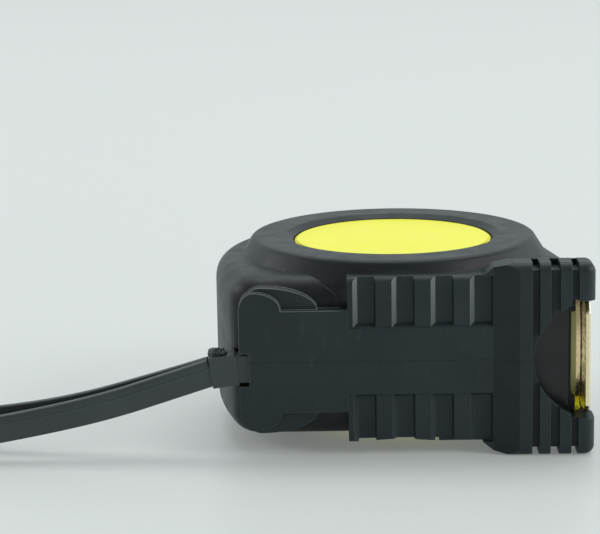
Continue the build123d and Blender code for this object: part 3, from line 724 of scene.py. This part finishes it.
class TAPE_OT_jacket(Operator):
    """Finish the rubber jacket, its stop pad, the thumb lock and the strap's sleeve"""

    bl_idname = "tape.jacket"
    bl_label = "Rubber jacket"

    def execute(self, context):
        look = finishes()
        seam = (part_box("grip_upper")[0].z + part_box("grip_lower")[1].z) / 2
        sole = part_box("grip_upper")[0].y
        # The base gets painted shade in its hollows and painted light on its grip ramps and rims.
        recess = (sole + RECESS_START, sole + RECESS_FULL)
        rubber = moulded(
            "jacket_rubber",
            tuple(look.rubber),
            look.rubber_roughness,
            look.edge_round,
            seam=seam,
            recess=recess,
        )
        shader = rubber.node_tree.nodes["Principled BSDF"]
        shader.inputs["Specular IOR Level"].default_value = RUBBER_SPECULAR
        paint(rubber, "grip_upper", "grip_lower", "hook_bumper", "lock_button")
        black, vinyl = tuple(look.plastic), tuple(look.strap)
        plastic = moulded("black_moulding", black, roughness=0.32, radius=0.25 * MM, grain=0.5)
        paint(plastic, "lock_slider", "mouth_plate")
        sleeve = moulded("sleeve_vinyl", vinyl, roughness=0.4, radius=0.25 * MM, grain=0.7)
        paint(sleeve, "strap_collar")
        return {"FINISHED"}


class TAPE_OT_case(Operator):
    """Finish the case shells, the round faces and the reel"""

    bl_idname = "tape.case"
    bl_label = "Case and faces"

    def execute(self, context):
        look = finishes()
        shell = gloss_plastic("case_yellow", tuple(look.case), roughness=0.32)
        paint(shell, "case_upper", "case_lower")
        paint(printed_disc(tuple(look.disc), roughness=0.34), "face_disc_upper", "face_disc_lower")
        nylon = gloss_plastic("pale_nylon", tuple(look.nylon), roughness=0.42)
        paint(nylon, "reel_drum", "reel_washer_upper", "reel_washer_lower")
        return {"FINISHED"}


class TAPE_OT_blade(Operator):
    """Finish the blade with its lacquer, ticks and numbers"""

    bl_idname = "tape.blade"
    bl_label = "Blade"

    def number(self, context, count, place, ink):
        """A printed number that rides on the blade."""
        deselect()
        bpy.ops.object.text_add(location=place)
        number = context.object
        number.name = f"blade_number_{count}"
        number.data.body = str(count)
        number.data.size = NUMBER_SIZE
        number.data.align_x = "CENTER"
        number.data.align_y = "CENTER"
        number.data.extrude = NUMBER_DEPTH
        number.rotation_euler = NUMBER_TURN
        bpy.ops.object.convert(target="MESH")
        bpy.ops.object.transform_apply(location=True, rotation=True, scale=True)
        number.data.materials.clear()
        number.data.materials.append(ink)
        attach(number, "blade")

    def execute(self, context):
        look = finishes()
        black = tuple(look.print_ink)
        low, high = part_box("blade_tongue")
        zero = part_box("end_hook")[1].x - HOOK_THICKNESS
        middle, half = (low.z + high.z) / 2, (high.z - low.z) / 2
        lacquer = blade_print(
            tuple(look.blade), roughness=0.3, ink=black, zero=zero, middle=middle, half=half
        )
        paint(lacquer, "blade_tongue", "blade_coil")
        ink = moulded("blade_ink", black, roughness=0.5, radius=0.05 * MM, grain=0.3)
        for count in NUMBERS:
            self.number(context, count, (zero - count * NUMBER_SPACING, BLADE_TOP, middle), ink)
        return {"FINISHED"}


class TAPE_OT_hardware(Operator):
    """Finish the hook, clip, spring, pin and screws"""

    bl_idname = "tape.hardware"
    bl_label = "Metal parts"

    def execute(self, context):
        look = finishes()
        steel = tuple(look.steel)
        plated = metal(
            "hook_steel",
            tuple(look.hook),
            roughness=0.18,
            stretch=(1, 0.1, 1),
            scratch=0.0,
            wear=0.96,
            radius=0.7 * MM,
        )
        paint(plated, "end_hook")
        bright = metal("bright_steel", steel, roughness=0.26, stretch=(0.1, 1, 1))
        paint(bright, "hook_rivets", "strap_pin", "case_screws", "clip_screw", "spindle")
        sprung = metal("clip_steel", steel, roughness=0.34, stretch=(0.08, 1, 1), scratch=0.8)
        paint(sprung, "belt_clip", "power_spring")
        return {"FINISHED"}


class TAPE_PT_build(Panel):
    """Lists the tape's pieces and sizes"""

    bl_idname = "TAPE_PT_build"
    bl_label = "Pocket Tape Measure"
    bl_space_type = "VIEW_3D"
    bl_region_type = "UI"
    bl_category = "Tape"

    def draw(self, context):
        scene = context.scene
        for group in (scene.tape_finishes, scene.tape_strap, scene.tape_stage):
            box = self.layout.box()
            for name in group.__annotations__:
                box.prop(group, name)
        for operator in OPERATORS:
            self.layout.operator(operator.bl_idname)


GROUPS = (TapeFinishes, TapeStrap, TapeStage)
OPERATORS = (
    TAPE_OT_stage,
    TAPE_OT_strap,
    TAPE_OT_jacket,
    TAPE_OT_case,
    TAPE_OT_blade,
    TAPE_OT_hardware,
)


def register():
    """Adds the tape's properties, operators and panel."""
    for part in (*GROUPS, *OPERATORS, TAPE_PT_build):
        bpy.utils.register_class(part)
    bpy.types.Scene.tape_finishes = PointerProperty(type=TapeFinishes)
    bpy.types.Scene.tape_strap = PointerProperty(type=TapeStrap)
    bpy.types.Scene.tape_stage = PointerProperty(type=TapeStage)


def unregister():
    """Takes them away again."""
    del bpy.types.Scene.tape_finishes
    del bpy.types.Scene.tape_strap
    del bpy.types.Scene.tape_stage
    for part in reversed((*GROUPS, *OPERATORS, TAPE_PT_build)):
        bpy.utils.unregister_class(part)


def main():
    """Builds everything."""
    register()
    bpy.ops.tape.stage()
    bpy.ops.tape.strap()
    bpy.ops.tape.jacket()
    bpy.ops.tape.case()
    bpy.ops.tape.blade()
    bpy.ops.tape.hardware()


if __name__ == "__main__":
    main()
